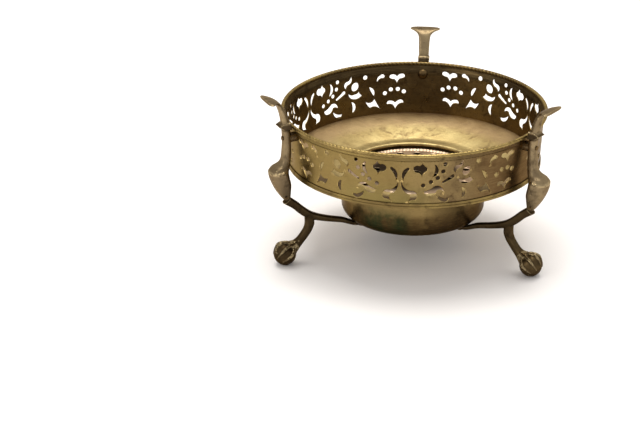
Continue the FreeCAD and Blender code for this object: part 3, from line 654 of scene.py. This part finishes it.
def gallery_holes(start, turn):
    """All openings on the unrolled wall, as (length along it, height), between start and start + turn."""
    half_panel = [motif_ring(points) for points in MOTIFS]
    half_panel += [np.array([x, y]) + radius * circle(18) for x, y, radius in DOTS]
    holes = []
    for middle, lift in PANELS:
        for side in (1, -1):
            for ring in half_panel:
                along = math.radians(middle) * WALL_ARC - side * ring[:, 0]
                along = (along - start) % turn + start
                holes.append(np.stack([along, ring[:, 1] + FLOOR + lift], 1))
    return holes


def gallery_mesh():
    """The pierced wall, meshed flat with its openings and then bent round."""
    bevel, sunk_outside, sunk_inside = 0.42, 0.38, 0.16
    turn = 2 * math.pi * WALL_ARC
    start = math.radians(LEGS["back"]) * WALL_ARC
    rows = np.concatenate([np.linspace(FLOOR, GALLERY_FLARE, 17), [height for height, _ in WALL_OUTSIDE[2:]]])
    columns = np.linspace(start, start + turn, 261)
    border = np.array(
        [(u, FLOOR) for u in columns[:-1]] + [(start + turn, v) for v in rows[:-1]]
        + [(u, GALLERY_TOP) for u in columns[:0:-1]] + [(start, v) for v in rows[:0:-1]]
    )
    u, v = np.meshgrid(columns[1:-1], rows[1:-1])
    shift = np.where(np.arange(len(rows) - 2) % 2, 0.25, -0.25)[:, None] * (columns[1] - columns[0])
    field = np.stack([(u + shift).ravel(), v.ravel()], 1)

    def place(flat, side, sunk):
        radius, slope = profile_at(WALL_INSIDE if side else WALL_OUTSIDE, flat[:, 1], 0.25)
        radius = radius + sunk * (sunk_inside if side else -sunk_outside)
        angle = flat[:, 0] / WALL_ARC
        points = np.stack([radius * np.cos(angle), radius * np.sin(angle), flat[:, 1]], 1)
        normal = np.stack([np.cos(angle), np.sin(angle), -slope], 1) / np.sqrt(1 + slope**2)[:, None]
        return points, normal * (-1 if side else 1)

    holes = gallery_holes(start, turn)
    return pierced("pierced_gallery_look", border, field, holes, bevel, place, (start, start + turn))


def grate_mesh():
    """Flat grate with a finger hole, three rings of air holes and a raised rim."""
    bevel, sunk_above, sunk_below = 0.4, 0.3, 0.15
    underside = 58.5
    top_profile = [(51.0, 60.3), (51.6, 61.3), (53.3, 61.3), (GRATE_RADIUS, 61.1)]  # (radius, height)
    finger_hole, air_hole, ledge_overlap = 7.0, 2.8, 3.6
    spread = GRATE_RADIUS - ledge_overlap - air_hole - finger_hole
    holes = [finger_hole * circle(26)]
    for row, count in ((1, 8), (2, 14), (3, 20)):
        reach = finger_hole + spread * (0.333 * row - 0.06)
        for step in range(count):
            turn = math.radians(90) + 2 * math.pi * step / count
            holes.append(air_hole * circle(26) + reach * np.array([math.cos(turn), math.sin(turn)]))
    field_radii = (10.0, 13.0, 22.5, 25.0, 37.0, 39.5, 49.4, 50.6, 51.0, 51.3, 51.6, 52.0, 53.2)
    field = np.concatenate([radius * circle(int(2.2 * radius)) for radius in field_radii])

    def place(flat, side, sunk):
        if side:
            points = np.column_stack([flat, np.full(len(flat), underside) + sunk_below * sunk])
            return points, np.tile([0.0, 0.0, -1.0], (len(flat), 1))
        radius = np.linalg.norm(flat, axis=1)
        top, slope = profile_at(top_profile, radius, 0.1)
        out = flat / np.maximum(radius, 1)[:, None]
        normal = np.column_stack([-out * slope[:, None], np.ones(len(flat))]) / np.sqrt(1 + slope**2)[:, None]
        return np.column_stack([flat, top - sunk_above * sunk]), normal

    return pierced("fire_grate_look", GRATE_RADIUS * circle(180), field, holes, bevel, place)


# ---------------------------------------------------------------- rope bead
def rope_mesh():
    """A bead milled like a rope, 190 strands round the rim."""
    strands, per, around = 190, 9, 18
    bead, groove, middle = 1.6, 0.24, 106.4
    count = strands * per
    turn = turns(count)[:, None]
    section = turns(around)[None]
    ridge = np.abs(np.sin(0.5 * strands * turn + section)) ** 0.6
    radius = bead - groove * (1 - ridge)
    reach = middle + radius * np.cos(section)
    points = np.stack([reach * np.cos(turn), reach * np.sin(turn), RIM - bead + radius * np.sin(section)], 2)
    faces = []
    for i in range(count):
        for j in range(around):
            k, m = (i + 1) % count, (j + 1) % around
            faces.append((i * around + j, k * around + j, k * around + m, i * around + m))
    mesh = mesh_of("rope_rim_bead_look", points.reshape(-1, 3), faces)
    # the strands' crests: rubbed bright and given painted highlights
    wear_and_highlight = np.clip(ridge.reshape(-1).astype(np.float32) * 2 - 1, 0, 1)
    mesh.attributes.new("wear_and_highlight", "FLOAT", "POINT").data.foreach_set("value", wear_and_highlight)
    return outward(mesh)


# ---------------------------------------------------------------- castings, made along a leg that points to +X
def smooth_rows(rows, fine):
    """Rows of numbers with Catmull-Rom rows between them."""
    rows = np.array(rows, float)
    padded = np.concatenate([rows[:1] * 2 - rows[1:2], rows, rows[-1:] * 2 - rows[-2:-1]])
    out = []
    for i in range(1, len(padded) - 2):
        p0, p1, p2, p3 = padded[i - 1 : i + 3]
        for step in range(fine):
            t = step / fine
            bend = (2 * p0 - 5 * p1 + 4 * p2 - p3) * t**2 + (3 * p1 - p0 - 3 * p2 + p3) * t**3
            out.append(0.5 * (2 * p1 + (p2 - p0) * t + bend))
    out.append(rows[-1])
    return np.array(out)


def skinned(rings):
    """Closed skin over rings of points."""
    count, around = len(rings), len(rings[0])
    faces = [
        (i * around + j, i * around + (j + 1) % around, (i + 1) * around + (j + 1) % around, (i + 1) * around + j)
        for i in range(count - 1) for j in range(around)
    ]
    faces += [tuple(range(around))[::-1], tuple((count - 1) * around + j for j in range(around))]
    return np.concatenate(rings), faces


def limb(stations, square=2.6, around=28, fine=5):
    """Skin through stations of (x, z, lean, depth, width), lean in degrees from upright, outwards positive."""
    rings = []
    for x, z, lean, depth, width in smooth_rows(stations, fine):
        turn = math.radians(lean)
        across = np.array([math.cos(turn), 0, -math.sin(turn)])
        t = turns(around)
        deep = np.sign(np.cos(t)) * np.abs(np.cos(t)) ** (2 / square) * depth / 2
        wide = np.sign(np.sin(t)) * np.abs(np.sin(t)) ** (2 / square) * width / 2
        rings.append(np.array([x, 0, z]) + deep[:, None] * across + wide[:, None] * np.array([0, 1, 0]))
    return skinned(rings)


def tube(path, radii, around=12, fine=5):
    """A round wire along a path, its radius given at each of the path's points."""
    rows = smooth_rows([(*p, r) for p, r in zip(path, radii)], fine)
    rings = []
    side = None
    for i, (x, y, z, radius) in enumerate(rows):
        way = rows[min(i + 1, len(rows) - 1), :3] - rows[max(i - 1, 0), :3]
        way /= np.linalg.norm(way)
        if side is None:
            side = np.cross(way, [0, 0, 1.0] if abs(way[2]) < 0.9 else [0, 1.0, 0])
        side = side - way * (side @ way)
        side /= np.linalg.norm(side)
        up = np.cross(way, side)
        t = turns(around)[:, None]
        rings.append(np.array([x, y, z]) + radius * (np.cos(t) * side + np.sin(t) * up))
    return skinned(rings)


def ball(centre, radius, rows=24, around=36):
    """A sphere, flat at its two poles."""
    rings = []
    for i in range(1, rows):
        lift = math.pi * i / rows
        t = turns(around)
        ring = np.stack([np.sin(lift) * np.cos(t), np.sin(lift) * np.sin(t), np.full(around, -math.cos(lift))], 1)
        rings.append(np.array(centre) + radius * ring)
    return skinned(rings)


def slab(outline, half):
    """Prism of an outline of (x, z), y from -half to half."""
    low = np.array([(x, -half, z) for x, z in outline], float)
    return skinned([low, low + np.array([0, 2 * half, 0])])


def rod(start, end, radius):
    return tube([start, (np.array(start) + np.array(end)) / 2, end], [radius] * 3, 24, 2)


def cast(name, parts, voxel=0.34, passes=3):
    """One casting from overlapping closed skins: joined, then softened as a worn casting is."""
    points, faces, first = [], [], 0
    for part_points, part_faces in parts:
        points.append(part_points)
        faces += [tuple(first + i for i in face) for face in part_faces]
        first += len(part_points)
    holder = bpy.data.objects.new(name, outward(mesh_of(name, np.concatenate(points), faces)))
    bpy.context.scene.collection.objects.link(holder)
    remesh = holder.modifiers.new("join", "REMESH")
    remesh.mode = "VOXEL"
    remesh.voxel_size = voxel * MM
    soften = holder.modifiers.new("soften", "SMOOTH")
    soften.factor, soften.iterations = 0.5, passes
    bpy.context.view_layer.update()
    shaped = bpy.data.meshes.new_from_object(holder.evaluated_get(bpy.context.evaluated_depsgraph_get()))
    bpy.data.objects.remove(holder)
    return shaped


def rub_and_highlight(mesh, amount):
    """Store how brightly each point is rubbed and lit by a painted highlight: amount(points in millimetres), held
    between 0 and 1.
    """
    points = np.empty(3 * len(mesh.vertices), np.float32)
    mesh.vertices.foreach_get("co", points)
    value = np.clip(amount(points.reshape(-1, 3) / MM), 0, 1).astype(np.float32)
    mesh.attributes.new("wear_and_highlight", "FLOAT", "POINT").data.foreach_set("value", value)


def turned_copy(mesh, degrees, name):
    """The mesh turned about the bowl's axis."""
    copy = mesh.copy()
    copy.name = name
    copy.transform(Matrix.Rotation(math.radians(degrees), 4, "Z"))
    return copy


def plate_rest_mesh():
    """Leaf knee with its ridge, upright bar, spurred collar and trumpet-shaped fan."""
    width, depth = 8.6, 6.2  # of the bar
    knee = 18.0  # width of the leaf
    fan, reach, rise = 25.8, 17.7, 23.2  # width of the fan's end, and where it ends beyond the bar and above the rim
    body = limb([
        (BAR - 0.6, FLOOR - 18.2, 38, 5.0, 5.4),
        (BAR + 1.6, FLOOR - 12.5, 26, 1.5 * depth, 0.58 * knee),
        (BAR + 3.9, FLOOR - 5.6, 14, 2.15 * depth, 0.84 * knee),
        (BAR + 6.3, FLOOR + 1.6, 6, 2.38 * depth, 0.97 * knee),
        (BAR + 7.0, FLOOR + 6.4, 0, 2.36 * depth, knee),
        (BAR + 5.6, FLOOR + 9.8, -6, 2.0 * depth, 0.92 * knee),
        (BAR + 2.6, FLOOR + 12.8, -8, 1.42 * depth, 0.7 * knee),
        (BAR + 0.9, FLOOR + 16.8, -5, 1.2 * depth, 1.1 * width),
        (BAR + 0.2, FLOOR + 24.0, 0, 1.14 * depth, width),
        (BAR, RIM - 13.0, 0, depth, width),
        (BAR + 0.4, RIM - 5.0, 4, 0.95 * depth, width),
        (BAR + 1.3, RIM + 3.5, 8, 0.95 * depth, width),
        (BAR + 0.16 * reach, RIM + 0.44 * rise, 18, 0.8 * depth, 1.05 * width),
        (BAR + 0.3 * reach, RIM + 0.7 * rise, 32, 0.62 * depth, 0.37 * fan),
        (BAR + 0.44 * reach, RIM + 0.87 * rise, 50, 0.5 * depth, 0.44 * fan),
        (BAR + 0.62 * reach, RIM + 0.96 * rise, 70, 0.42 * depth, 0.68 * fan),
        (BAR + 0.84 * reach, RIM + 0.99 * rise, 80, 0.4 * depth, 0.99 * fan),
        (BAR + 0.96 * reach, RIM + rise, 84, 0.4 * depth, 0.92 * fan),
        (BAR + reach - 0.2, RIM + rise, 84, 0.36 * depth, 0.74 * fan),
    ], 3.0)
    spur = ((-3.5, -2.8), (3.8, -2.2), (7.6, 0.7), (4.0, 2.8), (-2.4, 3.4))
    collar = slab([(BAR + x, RIM + z) for x, z in spur], 4.7)
    boss = rod((103.6, 0, 110.0), (BAR, 0, 110.0), 4.0)
    ridge = []
    for degrees in range(-112, 113, 8):
        t = math.radians(degrees)
        ridge.append((BAR + 7.0 + 7.35 * math.cos(t), 9.05 * math.sin(t), FLOOR + 6.6 + 1.5 * (1 - math.cos(t))))
    wire = tube(ridge, [0.4] + [1.0] * (len(ridge) - 2) + [0.4])
    mesh = cast("plate_rest_cast", [body, collar, boss, wire])
    # the leaf's ridge: rubbed bright and given a painted highlight
    rub_and_highlight(mesh, lambda points: 1.3 - 0.7 * np.linalg.norm(points[:, None] - np.array(ridge)[None], axis=2).min(1))
    return mesh


def talon_skin(core, bearing, first, last):
    """A talon with one knuckle, down over the ball.

    bearing is its angle round the wrist from the front, and first and last are its angles from the wrist, in degrees.
    """
    wrist = Vector((-0.72, 0, 0.69)).normalized()
    front = Vector((0.69, 0, 0.72)).normalized()
    side = Vector((0, 1, 0))
    path, radii = [], []
    for step in range(9):
        t = step / 8
        lift = math.radians(first + (last - first) * t)
        turn = math.radians(bearing * (1 - 0.12 * t))
        out = front * math.cos(turn) + side * math.sin(turn)
        knuckle = 0.55 * math.exp(-((t - 0.45) / 0.16) ** 2)
        path.append(tuple(core + (wrist * math.cos(lift) + out * math.sin(lift)) * (9.5 + knuckle - 0.5 * t)))
        radii.append(1.3 * (1.1 - 0.55 * t + 0.25 * math.exp(-((t - 0.45) / 0.14) ** 2)))
    return tube(path, radii)


def claw_leg_mesh():
    """Fork, strut under the pot, and a foot of five talons round a ball."""
    width = 6.6
    joint, fork = Vector((BAR - 0.3, 0, 57.0)), Vector((BAR - 19.5, 0, 40.0))
    rivet = 46.5  # distance of the strut's rivet from the bowl's axis
    strut = limb([
        (joint.x + 0.9, joint.z - 0.6, 38, 7.6, 1.1 * width),
        (0.68 * joint.x + 0.32 * fork.x, 0.68 * joint.z + 0.32 * fork.z - 0.5, 43, 6.8, width),
        (0.36 * joint.x + 0.64 * fork.x, 0.36 * joint.z + 0.64 * fork.z - 0.9, 50, 6.8, width),
        (fork.x, fork.z, 62, 6.4, width),
        (fork.x - 8.0, 0.66 * fork.z + 0.34 * POT_BASE + 0.8, 72, 5.4, 0.92 * width),
        (0.5 * (fork.x + POT_RADIUS) - 1.0, 0.5 * (fork.z + POT_BASE) - 0.3, 75, 4.8, 0.85 * width),
        (POT_RADIUS + 5.0, POT_BASE + 3.0, 72, 4.4, 0.85 * width),
        (POT_RADIUS - 2.6, POT_BASE - 0.3, 72, 4.0, 0.85 * width),
        (0.5 * (POT_RADIUS + rivet) - 1.0, POT_BASE - 1.9, 82, 3.6, 0.85 * width),
        (rivet, POT_BASE - 2.1, 90, 3.4, 0.85 * width),
    ], 3.2)
    core, ball_radius = Vector((BAR + 2.5, 0, 9.2)), 9.2
    lower = limb([
        (fork.x + 2.0, fork.z + 2.0, -35, 6.2, 0.9 * width),
        (fork.x + 0.2, fork.z - 5.8, -8, 7.8, width),
        (0.86 * fork.x + 0.14 * core.x - 1.4, 0.62 * fork.z + 0.38 * core.z, -22, 7.0, width),
        (0.7 * fork.x + 0.3 * core.x - 0.8, 0.43 * fork.z + 0.57 * core.z, -42, 6.4, width),
        (0.48 * fork.x + 0.52 * core.x - 0.6, 0.26 * fork.z + 0.74 * core.z, -52, 7.0, 1.1 * width),
        (0.28 * fork.x + 0.72 * core.x, 0.16 * fork.z + 0.84 * core.z, -58, 10.8, 1.7 * width),
        (0.1 * fork.x + 0.9 * core.x, 0.07 * fork.z + 0.93 * core.z, -62, 14.6, 2.2 * width),
    ], 3.0)
    parts = [strut, lower, ball(core, ball_radius), rod((rivet, 0, 23.4), (rivet, 0, 26.6), 3.6)]
    for talon in ((0, 26, 130), (48, 30, 134), (-48, 30, 134), (96, 34, 130), (-96, 34, 130)):
        parts.append(talon_skin(core, *talon))
    mesh = cast("claw_leg_cast", parts)
    for point in mesh.vertices:
        point.co.z = max(point.co.z, 0)

    def shine(points):
        """Brightest on the talons, which stand proud of the ball: rubbed there, and given a painted highlight."""
        out = np.linalg.norm(points - np.array(core), axis=1)
        return (out < 13) * (out - 9.5) / 0.7

    rub_and_highlight(mesh, shine)
    return mesh


# ---------------------------------------------------------------- turned pieces
def floor_mesh():
    """Floor dished to a flat round the pot, its inner edge rolled down."""
    wall_edge, pot_edge, dish = GALLERY_FOOT - 1.6, 63.5, 235  # dish is the radius of its section
    return lathe("dished_floor_look", (
        [(GALLERY_FOOT, FLOOR)] + bowed((wall_edge, FLOOR), (pot_edge, LIP), dish, -1, 26)
        + [(pot_edge, LIP), (59.5, LIP), (57.5, LIP + 0.05)]
        + round_arc((55.7, LIP - 1.5), 1.5, 80, 345, 14) + [(57.2, LIP - SHEET)]
        + bowed((pot_edge, LIP - SHEET), (wall_edge, FLOOR - SHEET), dish, 1, 26)
        + [(wall_edge, FLOOR - SHEET), (GALLERY_FOOT, FLOOR - SHEET)]
    ))


def pot_mesh():
    """Flat-bottomed pot hung by a flange under the floor."""
    top, inside_radius, corner = LIP - SHEET, POT_RADIUS - SHEET, 9.5
    corner_place, base_edge = (POT_RADIUS - corner, POT_BASE + corner), 30.0
    flange = [(inside_radius, top), (POT_FLANGE, top), (POT_FLANGE, top - SHEET), (POT_RADIUS, top - SHEET)]
    return lathe("fire_pot_look", (
        softened(flange, 0.3)[1:]
        + round_arc(corner_place, corner, 0, -90, 14)
        + [(base_edge, POT_BASE), (0.0, POT_BASE), (0.0, POT_BASE + SHEET), (base_edge, POT_BASE + SHEET)]
        + round_arc(corner_place, corner - SHEET, -90, 0, 14) + [(inside_radius, 50.0)]
    ))


def band_mesh():
    """Band round the gallery's foot, with an incised line."""
    points = [(0, -1.2), (1.0, -1.2), (1.05, 0.3), (0.55, 0.65), (1.05, 1.0), (1.0, 2.8), (0.2, 2.85), (0.02, 0.8)]
    return lathe("base_band_look", softened([(GALLERY_FOOT + x, FLOOR + z) for x, z in points], 0.18))


# ---------------------------------------------------------------- materials
MATERIALS = {
    "gallery": aged_brass(
        "gallery_brass", tones((60, 44, 28), (104, 86, 58), (132, 112, 74)), (0.24, 0.42), "turned",
        wear_and_highlight=(colour(186, 160, 104), 0.75), extra=gallery_front,
    ),
    "bead": aged_brass(
        "bead_brass", tones((70, 54, 30), (124, 104, 62), (160, 138, 86)), (0.26, 0.42), "cast",
        wear_and_highlight=(colour(188, 164, 108), 0.3), extra=bead_back_shade,
    ),
    "band": aged_brass("band_brass", tones((66, 52, 32), (112, 94, 58), (140, 120, 72)), (0.26, 0.42), "turned"),
    "floor": aged_brass(
        "floor_brass", tones((116, 94, 64), (174, 152, 102), (198, 178, 124)), (0.4, 0.56), "turned",
        extra=floor_tone, pits=0.8,
    ),
    "pot": aged_brass(
        "pot_brass", tones((38, 28, 17), (84, 66, 40), (112, 92, 56)), (0.26, 0.42), "turned",
        stain=pot_stain, extra=pot_light_and_shade,
    ),
    "grate": aged_brass(
        "grate_brass", tones((112, 92, 78), (178, 152, 126), (208, 184, 156)), (0.32, 0.5), "turned",
        stain=grate_dark_middle, wear_and_highlight=(colour(190, 164, 122), 0.25),
    ),
    "rest": aged_brass(
        "rest_brass", tones((60, 48, 34), (116, 100, 76), (150, 132, 100)), (0.28, 0.46), "cast",
        wear_and_highlight=(colour(206, 184, 140), 0.8), extra=collar_shade,
    ),
    "leg": aged_brass(
        "leg_brass", tones((28, 21, 13), (58, 46, 30), (78, 64, 42)), (0.28, 0.46), "cast",
        wear_and_highlight=(colour(170, 152, 116), 0.8),
    ),
    "rivet": aged_brass("rivet_brass", tones((40, 30, 18), (84, 66, 42), (116, 96, 64)), (0.28, 0.44), "cast"),
}

# ---------------------------------------------------------------- the pieces
gallery = gallery_mesh()
finished("pierced_gallery_look", gallery, ["pierced_gallery"], MATERIALS["gallery"], sharp=None)
finished("rope_rim_bead_look", rope_mesh(), ["rope_rim_bead"], MATERIALS["bead"], sharp=60)
finished("base_band_look", band_mesh(), ["base_band"], MATERIALS["band"])
finished("dished_floor_look", floor_mesh(), ["dished_floor"], MATERIALS["floor"])
finished("fire_pot_look", pot_mesh(), ["fire_pot"], MATERIALS["pot"])
finished("fire_grate_look", grate_mesh(), ["fire_grate"], MATERIALS["grate"], "grate", sharp=None)
plate_rest, claw_leg = plate_rest_mesh(), claw_leg_mesh()
for side, bearing in LEGS.items():
    for kind, mesh, slot, key in (
        ("plate_rest", plate_rest, "cast_brass", "rest"),
        ("claw_leg", claw_leg, "dark_brass", "leg"),
    ):
        look = f"{kind}_{side}_look"
        finished(look, turned_copy(mesh, bearing, look), [f"{kind}_{side}"], MATERIALS[key], sharp=180)

# The ledge ring, rivets and pins keep their CAD shapes and only take a finish.
for name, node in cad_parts.items():
    if node.hide_render:
        continue
    material = MATERIALS["pot" if name == "grate_ledge_ring" else "rivet"]
    if not node.material_slots:
        node.data.materials.append(material)
    for material_slot in node.material_slots:
        material_slot.material = material

light_studio()
aim_camera()
